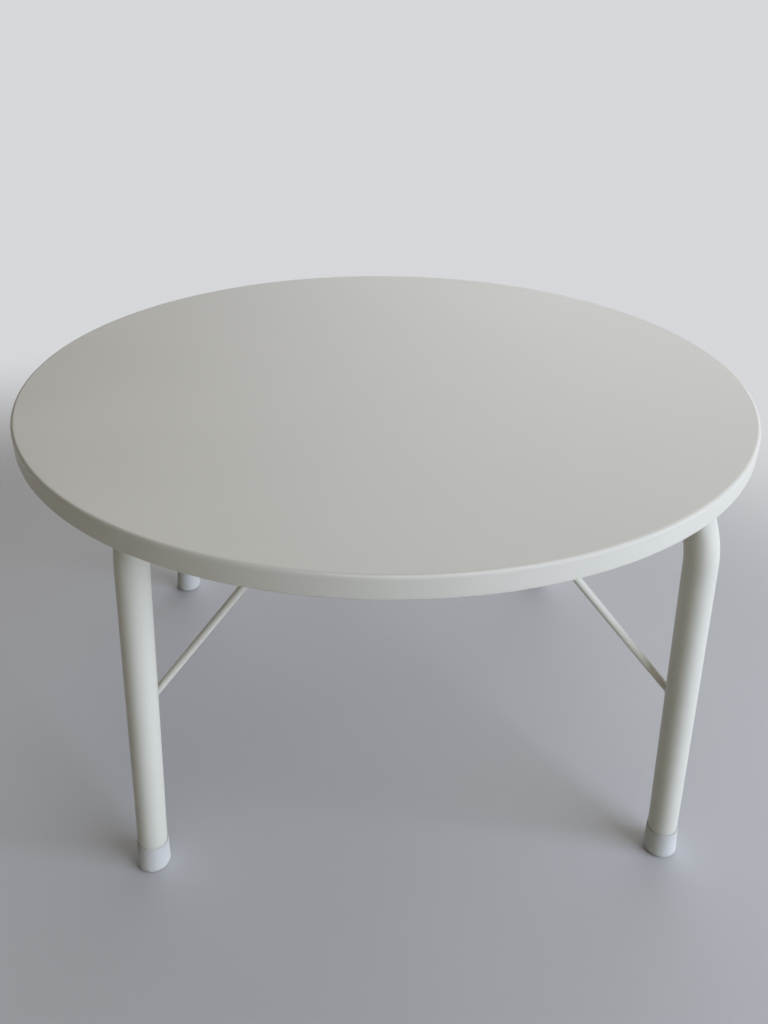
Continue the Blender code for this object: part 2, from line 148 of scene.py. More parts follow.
# Worked out from the sizes above
PANEL_UNDERSIDE = TOP_HEIGHT - SHEET
HINGE_HEIGHT = PANEL_UNDERSIDE - FRAME_DROP - TUBE_RADIUS
LEAN = math.atan2(FOOT_X - HINGE_X, HINGE_HEIGHT)
LEG_LENGTH = math.hypot(FOOT_X - HINGE_X, HINGE_HEIGHT)
PIN_HEIGHT = PANEL_UNDERSIDE - PIN_DROP
HOOK_X = HINGE_X + (HINGE_HEIGHT - HOOK_HEIGHT) * math.tan(LEAN)
HOOK_ALONG_LEG = (HINGE_HEIGHT - HOOK_HEIGHT) / math.cos(LEAN)
STAY_LENGTH = math.hypot(HOOK_X - PIN_X, PIN_HEIGHT - HOOK_HEIGHT)
STAY_ANGLE = math.atan2(HOOK_X - PIN_X, PIN_HEIGHT - HOOK_HEIGHT)
STAY_FROM_LEG = TUBE_RADIUS + STAY_RADIUS + STAY_GAP
BLOCK_RADIUS = TUBE_RADIUS + TOUCH_GAP + BLOCK_WALL
SADDLE_DROP = FRAME_DROP + TUBE_RADIUS

SIDES = {"left": -1, "right": 1}
ENDS = {"front": -1, "rear": 1}

# Photograph and camera, from the fit to the outline of the real table
PHOTO_HEIGHT = 1024
FOCAL_PIXELS = 894.1
CAMERA_PLACE = (-0.0855, -0.7068, 0.6411)
CAMERA_YAW = -0.1195
CAMERA_PITCH = 0.5332
CAMERA_ROLL = 0.0095
SENSOR = 36.0
CAMERA_REACH = (0.01, 200)

# Colours of the finishes
PAN_PAINT = (0.72, 0.70, 0.662)
TUBE_PAINT = (0.735, 0.725, 0.685)
WIRE_PAINT = (0.72, 0.705, 0.655)
CAP_PLASTIC = (0.70, 0.71, 0.735)
BLOCK_PLASTIC = (0.68, 0.70, 0.71)
ZINC = (0.60, 0.61, 0.62)
GRIME = (0.30, 0.28, 0.25)

# Enamel. A scale is in grains to the metre, and patches have a scale and two levels to fade between
EVEN_NOISE = (0.3, 0.7)
MOTTLE_PATCHES = (9.0, 0.3, 0.7)
MOTTLE_SHADES = (0.982, 1.012)
MOTTLE_ROUGHNESS = 0.05
SPECKLE_SCALE = 420.0
SPECKLE_EDGES = (0.66, 0.76)
SPECKLE_DIRT = 0.05
SCRATCH_ANGLES = (0.5, 2.2)
SCRATCH_SCALES = (900.0, 700.0)
SCRATCH_ALONG = 4.0
SCRATCH_EDGES = (0.70, 0.78)
SCRATCH_SHARE = 0.6
SCRATCH_DIRT = 0.05
SCRATCH_ROUGHNESS = 0.10
ENAMEL_ROUGHNESS = 0.30
STRAP_ROUGHNESS = 0.38
WIRE_ROUGHNESS = 0.36
COAT_SCALE = 180.0
COAT_ROUGHNESS = 0.04
ENAMEL_BUMP = 0.05
PEEL_SCALE = 520.0
PEEL_HEIGHT = 0.0003
WAVE_SCALE = 24.0
WAVE_HEIGHT = 0.002

# Plastic and zinc plate
FLOW_SCALE = 60.0
FLOW_STRETCH = (1.0, 1.0, 0.25)
FLOW_SHADES = (0.97, 1.015)
PLASTIC_ROUGHNESS = 0.46
SHEEN_SCALE = 300.0
SHEEN_ROUGHNESS = 0.10
SPARK_SCALE = 2400.0
SPARK_BUMP = 0.22
SPARK_HEIGHT = 0.0002
PLASTIC_SOFTNESS = 0.25
PLASTIC_DEPTH = 0.004
BLOOM_PATCHES = (260.0, 0.32, 0.68)
BLOOM_SHADES = (0.86, 1.06)
BLOOM_ROUGHNESS = 0.14
ZINC_ROUGHNESS = 0.28
TURNING_SCALE = 900.0
TURNING_STRETCH = (1.0, 1.0, 8.0)
TURNING_BUMP = 0.20
TURNING_HEIGHT = 0.0001

# Dirt and rubbing: where they are, and how strong
HEM_DIRT = 0.10
HEM_DIRT_PATCHES = (60.0, 0.45, 0.75)
HEM_DIRT_START = 0.7
RUB_PATCHES = (240.0, 0.35, 0.65)
RUB_REACH = (0.0085, 0.0042)
RUB_DEPTH = 0.002
RUB_STRENGTH = 0.3
RUB_LEAST = 0.12
SEAM_DIRT = 0.16
SEAM_REACH = (0.006, -0.001)
WIRE_RUB = 0.35
WIRE_RUB_PATCHES = (500.0, 0.35, 0.65)
WIRE_RUB_LENGTH = 0.012
STRAP_DUST = 0.10
STRAP_DUST_PATCHES = (140.0, 0.52, 0.74)
SCUFF_PATCHES = (320.0, 0.38, 0.7)
SCUFF_REACH = (0.0065, 0.0005)
SCUFF_STRENGTH = 0.30
SCUFF_LEAST = 0.04

# The floor: grey near the table, pale far off
FLOOR_RADIUS = 80
FLOOR_SIDES = 96
FLOOR_COLOUR = (0.61, 0.61, 0.65)
FLOOR_BOUNCE = (0.50, 0.485, 0.425)
FLOOR_SHADES = (0.985, 1.01)
FLOOR_SCALE = 3.0
FLOOR_ROUGHNESS = 0.62
FLOOR_SPECULAR = 0.3
TOOTH_SCALE = 900.0
TOOTH_ROUGHNESS = 0.1
BACKDROP_COLOUR = (0.67, 0.68, 0.70)
FAR_FLOOR = (0.88, 1.45)
FLOOR_MIDDLE = (-0.35, -0.35)
CONTACT_GAP = 0.003

# The light: a broad lamp in front on the right, and surroundings that are dim on the left
TABLE_MIDDLE = Vector((0, 0, 0.2))
LAMP_PLACE = (2.62, -2.08, 1.18)
LAMP_SIZE = (2.6, 1.8)
LAMP_POWER = 92.0
LAMP_COLOUR = (0.86, 0.985, 1.19)
LEFT_COLOUR = (0.02, 0.014, 0.002)
LEFT_EDGES = (0.50, -0.40)
LEFT_TILT = 0.35
AROUND_COLOUR = (0.42, 0.372, 0.20)
ABOVE_COLOUR = (0.42, 0.398, 0.334)
ABOVE_EDGES = (0.0, 1.0)
BEHIND_COLOUR = (1.60, 1.63, 1.69)
BEHIND_EDGES = (0.2, 0.9)

# What mirrored rays alone find: the lamp's face, and a bright patch high in front
LAMP_GLOW = (1.45, 1.50, 1.55)
LAMP_GLOW_EDGES = (0.80, 0.93)
HIGH_GLOW = (5.4, 5.5, 5.6)
HIGH_EDGES = (0.48, 0.72)
FRONT_EDGES = (0.1, -0.4)

# Sockets of the Mix node that hold colours
MIX_FIRST = 6
MIX_SECOND = 7
MIX_RESULT = 2


class Wire:
    """The output of a shader node. Arithmetic on it adds Math nodes to its tree."""

    def __init__(self, tree, socket=None):
        self.tree = tree
        self.socket = socket

    def make(self, kind, settings, inputs, output=0):
        """Adds any node: its settings first, then the values or wires of its inputs."""
        node = self.tree.nodes.new(kind)
        for name, value in settings.items():
            setattr(node, name, value)
        for name, value in inputs.items():
            if isinstance(value, Wire):
                self.tree.links.new(value.socket, node.inputs[name])
            else:
                node.inputs[name].default_value = value
        return Wire(self.tree, node.outputs[output])

    def math(self, operation, first, second=0.0):
        return self.make("ShaderNodeMath", {"operation": operation}, {0: first, 1: second})

    def __add__(self, other):
        return self.math("ADD", self, other)

    def __sub__(self, other):
        return self.math("SUBTRACT", self, other)

    def __rsub__(self, other):
        return self.math("SUBTRACT", other, self)

    def __mul__(self, other):
        return self.math("MULTIPLY", self, other)

    __radd__ = __add__
    __rmul__ = __mul__

    def ramp(self, low, high):
        """A smooth step from 0 at low to 1 at high. A step down has low above high."""
        if low > high:
            return 1 - self.ramp(high, low)
        settings = {"interpolation_type": "SMOOTHSTEP"}
        inputs = {"Value": self, "From Min": low, "From Max": high}
        return self.make("ShaderNodeMapRange", settings, inputs)

    def blend(self, first, second):
        """The first colour where this wire is 0, and the second where it is 1."""
        inputs = {0: self, MIX_FIRST: first, MIX_SECOND: second}
        return self.make("ShaderNodeMix", {"data_type": "RGBA"}, inputs, MIX_RESULT)

    def shades(self, colour, darkest, palest):
        """A colour that goes from its darkest share to its palest as this wire rises."""
        return self.blend(rgba(colour, darkest), rgba(colour, palest))

    def noise(self, scale, detail=2.0):
        """Noise over this wire's coordinates, from about 0.3 to 0.7."""
        inputs = {"Vector": self, "Scale": scale, "Detail": detail}
        return self.make("ShaderNodeTexNoise", {}, inputs)

    def patches(self, scale, low, high):
        """Uneven patches, 0 where their noise is below the low level and 1 above the high one."""
        return self.noise(scale, detail=3.0).ramp(low, high)

    def stretch(self, factors):
        settings = {"operation": "MULTIPLY"}
        return self.make("ShaderNodeVectorMath", settings, {0: self, 1: factors})

    def turned(self, angle):
        inputs = {"Vector": self, "Angle": angle}
        return self.make("ShaderNodeVectorRotate", {"rotation_type": "Z_AXIS"}, inputs)

    def part(self, axis):
        return self.make("ShaderNodeSeparateXYZ", {}, {0: self}, "XYZ".index(axis))


def rgba(colour, factor=1.0):
    return (*[part * factor for part in colour], 1.0)


def new_finish(name):
    """A new material, a wire of its object coordinates and its shader."""
    made = bpy.data.materials.new(name)
    made.use_nodes = True
    tree = made.node_tree
    place = Wire(tree).make("ShaderNodeTexCoord", {}, {}, "Object")
    return made, place, tree.nodes["Principled BSDF"]


def set_shader(shader, wires, plain):
    """Links what varies over the surface, and sets the plain numbers on the sockets."""
    for name, wire in wires.items():
        wire.tree.links.new(wire.socket, shader.inputs[name])
    for name, value in plain.items():
        shader.inputs[name].default_value = value


def bump(height, strength, distance, below=None):
    inputs = {"Height": height, "Strength": strength, "Distance": distance}
    if below:
        inputs["Normal"] = below
    return height.make("ShaderNodeBump", {}, inputs)


def fine_scratches(place, way):
    """Thin straight scratches in one direction: noise drawn out along it."""
    across = SCRATCH_SCALES[way]
    drawn = place.turned(SCRATCH_ANGLES[way]).stretch((SCRATCH_ALONG, across, across))
    return drawn.noise(1.0, detail=1.0).ramp(*SCRATCH_EDGES)


def enamel(name, colour, grime, roughness=ENAMEL_ROUGHNESS):
    """Stove enamel: an even satin coat with orange peel, faint mottling and light wear."""
    made, place, shader = new_finish(name)
    mottle = place.patches(*MOTTLE_PATCHES)
    speckle = place.noise(SPECKLE_SCALE).ramp(*SPECKLE_EDGES)
    worn = (fine_scratches(place, 0) + fine_scratches(place, 1)) * SCRATCH_SHARE
    paint = mottle.shades(colour, *MOTTLE_SHADES)
    paint = (speckle * SPECKLE_DIRT).blend(paint, rgba(GRIME))
    paint = (worn * SCRATCH_DIRT).blend(paint, rgba(GRIME))
    paint = grime(place).blend(paint, rgba(GRIME))
    rough = roughness + mottle * MOTTLE_ROUGHNESS + worn * SCRATCH_ROUGHNESS
    rough += place.noise(COAT_SCALE) * COAT_ROUGHNESS
    peel = bump(place.noise(PEEL_SCALE, detail=1.0), ENAMEL_BUMP, PEEL_HEIGHT)
    waves = bump(place.noise(WAVE_SCALE, detail=1.0), ENAMEL_BUMP, WAVE_HEIGHT, peel)
    set_shader(shader, {"Base Color": paint, "Roughness": rough, "Normal": waves}, {})
    return made


def hem_grime(place):
    """A little dirt where the skirt's hem is handled."""
    start = TOP_HEIGHT - SKIRT_HEIGHT * HEM_DIRT_START
    low = place.part("Z").ramp(start, TOP_HEIGHT - SKIRT_HEIGHT)
    return low * place.patches(*HEM_DIRT_PATCHES) * HEM_DIRT


def left_leg_grime(place):
    return leg_grime(place, frame_centre("left"))


def right_leg_grime(place):
    return leg_grime(place, frame_centre("right"))


def leg_grime(place, centre):
    """Rubbing round the hook holes and above the foot caps of a leg frame."""
    out = place.math("ABSOLUTE", place.part("X")) - HOOK_X
    rise = place.part("Z") - HOOK_HEIGHT
    from_hole = place.math("SQRT", out * out + rise * rise)
    from_centre = place.math("ABSOLUTE", place.part("Y") - centre)
    half = LEG_SPACING / 2
    ring = from_hole.ramp(*RUB_REACH) * from_centre.ramp(half, half - RUB_DEPTH)
    seam = place.part("Z").ramp(CAP_HEIGHT + SEAM_REACH[0], CAP_HEIGHT + SEAM_REACH[1])
    rubbed = place.patches(*RUB_PATCHES)
    return ring * (rubbed * RUB_STRENGTH + RUB_LEAST) + seam * rubbed * SEAM_DIRT


def wire_grime(place):
    """Rubbing at the hook end of a stay, where it goes into the leg."""
    end = place.part("Z").ramp(HOOK_HEIGHT + WIRE_RUB_LENGTH, HOOK_HEIGHT)
    return end * place.patches(*WIRE_RUB_PATCHES) * WIRE_RUB


def strap_grime(place):
    """Uneven patches of dust all over a strap."""
    return place.patches(*STRAP_DUST_PATCHES) * STRAP_DUST


def moulded_plastic(name, colour, grime=None):
    """Injection-moulded plastic: a fine spark texture, faint flow marks, soft light."""
    made, place, shader = new_finish(name)
    flow = place.stretch(FLOW_STRETCH).noise(FLOW_SCALE).ramp(*EVEN_NOISE)
    paint = flow.shades(colour, *FLOW_SHADES)
    if grime:
        paint = grime(place).blend(paint, rgba(GRIME))
    rough = PLASTIC_ROUGHNESS + place.noise(SHEEN_SCALE) * SHEEN_ROUGHNESS
    spark = bump(place.noise(SPARK_SCALE), SPARK_BUMP, SPARK_HEIGHT)
    plain = {
        "Subsurface Weight": PLASTIC_SOFTNESS,
        "Subsurface Radius": (1, 1, 1),
        "Subsurface Scale": PLASTIC_DEPTH,
    }
    set_shader(shader, {"Base Color": paint, "Roughness": rough, "Normal": spark}, plain)
    return made


def cap_grime(place):
    """Scuffs from the floor round the sole of a foot cap."""
    low = place.part("Z").ramp(*SCUFF_REACH)
    return low * (place.patches(*SCUFF_PATCHES) * SCUFF_STRENGTH + SCUFF_LEAST)


def zinc_plate(name, colour):
    """Bright zinc plate: grey steel with a faint cloudy bloom and turning marks."""
    made, place, shader = new_finish(name)
    bloom = place.patches(*BLOOM_PATCHES)
    plating = bloom.shades(colour, *BLOOM_SHADES)
    rough = ZINC_ROUGHNESS + bloom * BLOOM_ROUGHNESS
    rings = place.stretch(TURNING_STRETCH).noise(TURNING_SCALE)
    marks = bump(rings, TURNING_BUMP, TURNING_HEIGHT)
    wires = {"Base Color": plating, "Roughness": rough, "Normal": marks}
    set_shader(shader, wires, {"Metallic": 1.0})
    return made


def arc(centre, radius, start, end, steps):
    """Points from one angle to another, in degrees, in the plane of a flat outline."""
    turns = [math.radians(start + (end - start) * i / steps) for i in range(steps + 1)]
    return [(centre[0] + radius * math.cos(t), centre[1] + radius * math.sin(t)) for t in turns]


def join_rings(bm, rings, closed):
    """Bridges each ring of vertices to the next. A ring of one vertex is a point."""
    pairs = list(zip(rings, rings[1:] + rings[:1]))
    for low, high in pairs if closed else pairs[:-1]:
        count = max(len(low), len(high))
        for i in range(count):
            j = (i + 1) % count
            if len(low) == 1:
                bm.faces.new((low[0], high[i], high[j]))
            elif len(high) == 1:
                bm.faces.new((low[i], high[0], low[j]))
            else:
                bm.faces.new((low[i], high[i], high[j], low[j]))


def finish_mesh(name, bm):
    """Turns a bmesh into a mesh whose faces point out and whose round sides are smooth."""
    bmesh.ops.recalc_face_normals(bm, faces=bm.faces)
    if bm.calc_volume(signed=True) < 0:
        bmesh.ops.reverse_faces(bm, faces=bm.faces)
    mesh = bpy.data.meshes.new(name)
    bm.to_mesh(mesh)
    bm.free()
    smooth(mesh)
    return mesh


def smooth(mesh):
    mesh.shade_smooth()
    mesh.set_sharp_from_angle(angle=SHARP_ANGLE)


def turned_rings(bm, outline, segments):
    rings = []
    for radius, height in outline:
        if radius == 0:
            rings.append([bm.verts.new((0, 0, height))])
            continue
        turns = [math.tau * i / segments for i in range(segments)]
        ring = [bm.verts.new((radius * math.cos(t), radius * math.sin(t), height)) for t in turns]
        rings.append(ring)
    return rings


def turned_mesh(name, outline, segments):
    """Turns an outline of radii and heights about Z. It closes on itself off the axis."""
    bm = bmesh.new()
    join_rings(bm, turned_rings(bm, outline, segments), outline[0][0] > 0)
    return finish_mesh(name, bm)


def path_directions(points):
    """The tangent at each point of a path, halfway between its neighbouring runs."""
    runs = [b - a for a, b in zip(points, points[1:])]
    found = [runs[0].normalized()]
    for before, after in zip(runs, runs[1:]):
        found.append((before.normalized() + after.normalized()).normalized())
    found.append(runs[-1].normalized())
    return found


def sweep_rings(bm, points, radii, sides, flat_normal):
    """A circle at each point of a path that lies in one plane with the given normal."""
    rings = []
    for point, along, radius in zip(points, path_directions(points), radii):
        across = flat_normal.cross(along).normalized()
        ring = []
        for i in range(sides):
            turn = math.tau * i / sides
            offset = across * math.cos(turn) + flat_normal * math.sin(turn)
            ring.append(bm.verts.new(point + offset * radius))
        rings.append(ring)
    return rings


def bend_points(corner, before, after, radius, steps):
    """A round bend that replaces a square corner between two directions."""
    centre = corner - before * radius + after * radius
    found = []
    for i in range(steps + 1):
        turn = math.pi / 2 * i / steps
        found.append(centre - after * radius * math.cos(turn) + before * radius * math.sin(turn))
    return found


def cut(piece, cutter_mesh, matrix):
    """Cuts a mesh out of a piece and keeps the result as the piece's own mesh."""
    cutter = bpy.data.objects.new("cutter", cutter_mesh)
    bpy.context.scene.collection.objects.link(cutter)
    cutter.matrix_world = matrix
    modifier = piece.modifiers.new("cut", "BOOLEAN")
    modifier.operation = "DIFFERENCE"
    modifier.solver = "EXACT"
    modifier.object = cutter
    bpy.context.view_layer.update()
    graph = bpy.context.evaluated_depsgraph_get()
    made = bpy.data.meshes.new_from_object(piece.evaluated_get(graph))
    piece.modifiers.clear()
    piece.data = made
    bpy.data.objects.remove(cutter)
    smooth(made)


def new_piece(name, mesh, finish, matrix=None):
    """A piece whose place is in its mesh, as it is in the solids."""
    if matrix:
        mesh.transform(matrix)
    piece = bpy.data.objects.new(name, mesh)
    bpy.context.scene.collection.objects.link(piece)
    mesh.materials.clear()
    mesh.materials.append(finish)
    return piece


def stand_in(piece, body, slot, *nodes):
    """Seats a piece on its body and hides the solids it is for. Its slot argument is not used."""
    weighted = piece.modifiers.new("even_shading", "WEIGHTED_NORMAL")
    weighted.keep_sharp = True
    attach(piece, body)
    if nodes:
        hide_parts(*nodes)


def frame_centre(side):
    return -SIDES[side] * FRAME_OFFSET / 2


def leg_y(side, end):
    return frame_centre(side) + ENDS[end] * LEG_SPACING / 2


def stay_y(side, end):
    return leg_y(side, end) - ENDS[end] * STAY_FROM_LEG


def clip_y(side, end):
    return stay_y(side, end) - ENDS[end] * CLIP_FROM_STAY


def saddle_y(side, end):
    return frame_centre(side) + ENDS[end] * SADDLE_SPACING / 2


def pan_outline():
    """Half of the pan's section: panel, rounded rim, skirt and folded hem."""
    rim = (TOP_RADIUS - RIM_RADIUS, TOP_HEIGHT - RIM_RADIUS)
    foot = TOP_HEIGHT - SKIRT_HEIGHT
    bend = (TOP_RADIUS - HEM_BEND_RADIUS, foot + HEM_BEND_RADIUS)
    hem_tip = (TOP_RADIUS - HEM_WIDTH + SHEET / 2, foot + SHEET / 2)
    inside = TOP_RADIUS - SHEET
    outline = [(0, TOP_HEIGHT), (rim[0] - SUPPORT, TOP_HEIGHT)]
    outline += arc(rim, RIM_RADIUS, 90, 0, RIM_STEPS)
    outline.append((TOP_RADIUS, rim[1] - SUPPORT))
    outline.append((TOP_RADIUS, bend[1] + SUPPORT))
    outline += arc(bend, HEM_BEND_RADIUS, 0, -90, HEM_STEPS)
    outline += arc(hem_tip, SHEET / 2, 270, 90, HEM_TIP_STEPS)
    outline += arc(bend, HEM_BEND_RADIUS - SHEET, -90, 0, HEM_INNER_STEPS)
    outline.append((inside, rim[1] - SUPPORT))
    outline += arc(rim, RIM_RADIUS - SHEET, 0, 90, RIM_INNER_STEPS)
    outline += [(rim[0] - SUPPORT, PANEL_UNDERSIDE), (0, PANEL_UNDERSIDE)]
    return outline


def make_pan(paint):
    mesh = turned_mesh("pressed_pan", pan_outline(), TOP_SEGMENTS)
    stand_in(new_piece("pressed_pan", mesh, paint), "top", "pan_paint", "top_pan")


def stud_mesh(radius, length, pitch):
    """A threaded weld stud that hangs from its top, with a turned point."""
    bm = bmesh.new()
    depth = pitch * THREAD_SHARE * 2
    steps = int(length / pitch * STUD_STEPS_PER_TURN)
    rings = [[bm.verts.new((0, 0, 0))]]
    for step in range(steps + 1):
        height = -length * step / steps
        ring = []
        for i in range(STUD_SIDES):
            turn = math.tau * i / STUD_SIDES
            phase = (height / pitch + i / STUD_SIDES) % 1
            groove = depth * abs(2 * phase - 1)
            point = max(0.0, height + length)
            reach = min(radius - groove, radius * STUD_POINT_SHARE + point)
            ring.append(bm.verts.new((reach * math.cos(turn), reach * math.sin(turn), height)))
        rings.append(ring)
    rings.append([bm.verts.new((0, 0, -length))])
    join_rings(bm, rings, False)
    return finish_mesh("stud", bm)


def make_studs(finish):
    """All sixteen weld studs, as one piece: M5 at the saddles and M4 at the clips."""
    saddle_reach = TOUCH_GAP + SADDLE_SHEET + TOUCH_GAP + SADDLE_NUT[1] + STUD_END
    clip_reach = TOUCH_GAP + CLIP_SHEET + TOUCH_GAP + CLIP_NUT[1] + STUD_END
    saddle_stud = stud_mesh(SADDLE_STUD_RADIUS, saddle_reach, SADDLE_STUD_PITCH)
    clip_stud = stud_mesh(CLIP_STUD_RADIUS, clip_reach, CLIP_STUD_PITCH)
    bm = bmesh.new()
    for side, sign in SIDES.items():
        for end in ENDS:
            for way in (-1, 1):
                x = sign * HINGE_X + way * SADDLE_STUD_SPACING / 2
                add_copy(bm, saddle_stud, (x, saddle_y(side, end), PANEL_UNDERSIDE))
                x = sign * PIN_X + way * CLIP_STUD_SPACING / 2
                add_copy(bm, clip_stud, (x, clip_y(side, end), PANEL_UNDERSIDE))
    mesh = finish_mesh("weld_studs", bm)
    stand_in(new_piece("weld_studs", mesh, finish), "top", "zinc_plate")


def add_copy(bm, mesh, place):
    copy = mesh.copy()
    copy.transform(Matrix.Translation(place))
    bm.from_mesh(copy)
    bpy.data.meshes.remove(copy)


def frame_path():
    """The tube's centre line from one foot to the other, in the frame's own plane."""
    half = LEG_SPACING / 2
    foot = Vector((0, -half, -LEG_LENGTH + (CAP_SOLE + TOUCH_GAP) / math.cos(LEAN)))
    foot.z += TUBE_RADIUS * math.tan(LEAN)
    up, across = Vector((0, 0, 1)), Vector((0, 1, 0))
    first = bend_points(Vector((0, -half, 0)), up, across, BEND_RADIUS, TUBE_BEND_STEPS)
    second = bend_points(Vector((0, half, 0)), across, -up, BEND_RADIUS, TUBE_BEND_STEPS)
    low_support = first[0] - up * BEND_RADIUS / 4
    high_support = second[-1] - up * BEND_RADIUS / 4
    return [foot, low_support, *first, *second, high_support, Vector((0, half, foot.z))]


def frame_mesh():
    """One open-ended tube with its wall, bent into a U."""
    bm = bmesh.new()
    points = frame_path()
    normal = Vector((1, 0, 0))
    outer = sweep_rings(bm, points, [TUBE_RADIUS] * len(points), TUBE_SIDES, normal)
    bore = TUBE_RADIUS - TUBE_WALL
    inner = sweep_rings(bm, points, [bore] * len(points), TUBE_SIDES, normal)
    join_rings(bm, outer + inner[::-1], True)
    return finish_mesh("leg_tube", bm)


def frame_matrix(side):
    place = (SIDES[side] * HINGE_X, frame_centre(side), HINGE_HEIGHT)
    return Matrix.Translation(place) @ Matrix.Rotation(-SIDES[side] * LEAN, 4, "Y")


def hole_cutter():
    """A drill for the hook hole, with the soft edge that the enamel leaves on it."""
    radius, surface = HOOK_HOLE_RADIUS, TUBE_RADIUS
    outline = [(0, 0), (radius, 0), (radius, surface - HOLE_FLARE)]
    outline += [(radius + HOLE_FLARE / 4, surface - HOLE_FLARE / 3)]
    outline += [(radius + HOLE_FLARE, surface + HOLE_FLARE / 2), (radius + HOLE_FLARE, surface * 2)]
    outline += [(0, surface * 2)]
    return turned_mesh("hook_hole", outline, HOLE_SIDES)


def make_frame(side, paint):
    matrix = frame_matrix(side)
    tube = new_piece(f"{side}_leg_tube", frame_mesh(), paint, matrix)
    for way in ENDS.values():
        spot = Matrix.Translation((0, way * LEG_SPACING / 2, -HOOK_ALONG_LEG))
        aim = Matrix.Rotation(way * math.pi / 2, 4, "X")
        cut(tube, hole_cutter(), matrix @ spot @ aim)
    stand_in(tube, f"{side}_frame", "tube_paint", f"{side}_leg_frame")


def cap_ring(bm, radius, height, level):
    """A ring round the leg's axis, square to it, or level with the floor at the sole."""
    ring = []
    for i in range(CAP_SIDES):
        turn = math.tau * i / CAP_SIDES
        x, y = radius * math.cos(turn), radius * math.sin(turn)
        z = height / math.cos(LEAN) + x * math.tan(LEAN) if level else height
        ring.append(bm.verts.new((x, y, z)))
    return ring


def cap_mesh():
    """A moulded cup: dished sole with a gate mark, round foot edge, and a thin mouth."""
    bm = bmesh.new()
    bore = TUBE_RADIUS + TOUCH_GAP
    foot_edge = (CAP_RADIUS - CAP_SOLE_RADIUS, CAP_SOLE_RADIUS)
    lip = (CAP_MOUTH_RADIUS - CAP_LIP_RADIUS, CAP_HEIGHT - CAP_LIP_RADIUS)
    dish = CAP_DISH_DEPTH
    sole = [(CAP_GATE_RADIUS, dish / 2), (CAP_GATE_RADIUS + dish / 2, dish)]
    sole += [(CAP_DISH_RADIUS - dish, dish), (CAP_DISH_RADIUS, 0)]
    sole += arc(foot_edge, CAP_SOLE_RADIUS, -90, 0, CAP_EDGE_STEPS)
    sole.append((CAP_RADIUS, CAP_SOLE_RADIUS + SUPPORT))
    rings = [[bm.verts.new((0, 0, dish / 2))]]
    rings += [cap_ring(bm, radius, height, True) for radius, height in sole]
    side = [(CAP_MOUTH_RADIUS, lip[1] - SUPPORT)]
    side += arc(lip, CAP_LIP_RADIUS, 0, 90, SMALL_EDGE_STEPS)
    side += [(bore + CAP_FLARE, CAP_HEIGHT), (bore, CAP_HEIGHT - CAP_FLARE_DEPTH)]
    seat = CAP_SOLE / math.cos(LEAN) + TUBE_RADIUS * math.tan(LEAN)
    side.append((bore, seat))
    rings += [cap_ring(bm, radius, height, False) for radius, height in side]
    rings.append([bm.verts.new((0, 0, seat))])
    join_rings(bm, rings, False)
    return finish_mesh("foot_cap", bm)


def make_caps(side, plastic):
    turn = Matrix.Rotation(math.pi, 4, "Z") if SIDES[side] > 0 else Matrix()
    for end, way in ENDS.items():
        spot = Matrix.Translation((0, way * LEG_SPACING / 2, -LEG_LENGTH))
        name = f"{side}_{end}_cap"
        cap = new_piece(name, cap_mesh(), plastic, frame_matrix(side) @ spot @ turn)
        stand_in(cap, f"{side}_frame", "cap_plastic", f"{side}_{end}_foot_cap")


def head_stations():
    """Distance from the head's flat and radius, for an upset head with a domed end."""
    edge, radius = PIN_HEAD_RADIUS / 4, PIN_HEAD_RADIUS
    middle = PIN_HEAD_LENGTH / 2
    bend = arc((radius - edge, 0), edge, 90, 0, SMALL_EDGE_STEPS)
    dome = [(edge - y, x) for x, y in bend]
    shoulder = [(PIN_HEAD_LENGTH - edge / 2, radius), (PIN_HEAD_LENGTH, radius - edge / 2)]
    return dome + [(middle, radius)] + shoulder


def stay_path():
    """The rod's centre line and radii, from the pin's head to the hook's tip."""
    inward, down = Vector((0, 1, 0)), Vector((0, 0, -1))
    foot = Vector((0, 0, -STAY_LENGTH))
    head = [(inward * (PIN_LENGTH - d), r) for d, r in head_stations()]
    neck = inward * (PIN_LENGTH - PIN_HEAD_LENGTH - STAY_GAP)
    upper = bend_points(Vector(), -inward, down, STAY_BEND_RADIUS, ROD_BEND_STEPS)
    lower = bend_points(foot, down, -inward, STAY_BEND_RADIUS, ROD_BEND_STEPS)
    edge = STAY_RADIUS / 3
    bend = arc((STAY_RADIUS - edge, -edge), edge, 0, 90, SMALL_EDGE_STEPS)
    tip = [(foot - inward * (HOOK_REACH + y), x) for x, y in bend]
    rod = [(point, STAY_RADIUS) for point in (neck, *upper, *lower)]
    return head + rod + tip


def stay_mesh(way):
    """One bent rod. Its pin has an upset head, and its hook points at the leg."""
    bm = bmesh.new()
    points, radii = zip(*stay_path())
    rings = sweep_rings(bm, list(points), radii, ROD_SIDES, Vector((1, 0, 0)))
    bm.faces.new(rings[0][::-1])
    bm.faces.new(rings[-1])
    join_rings(bm, rings, False)
    if way > 0:
        bmesh.ops.scale(bm, vec=(1, -1, 1), verts=bm.verts)
    return finish_mesh("stay_rod", bm)


def make_stays(side, paint):
    sign = SIDES[side]
    for end, way in ENDS.items():
        place = Matrix.Translation((sign * PIN_X, stay_y(side, end), PIN_HEIGHT))
        matrix = place @ Matrix.Rotation(-sign * STAY_ANGLE, 4, "Y")
        name = f"{side}_{end}_stay"
        rod = new_piece(f"{name}_rod", stay_mesh(way), paint, matrix)
        stand_in(rod, name, "wire_paint", name)


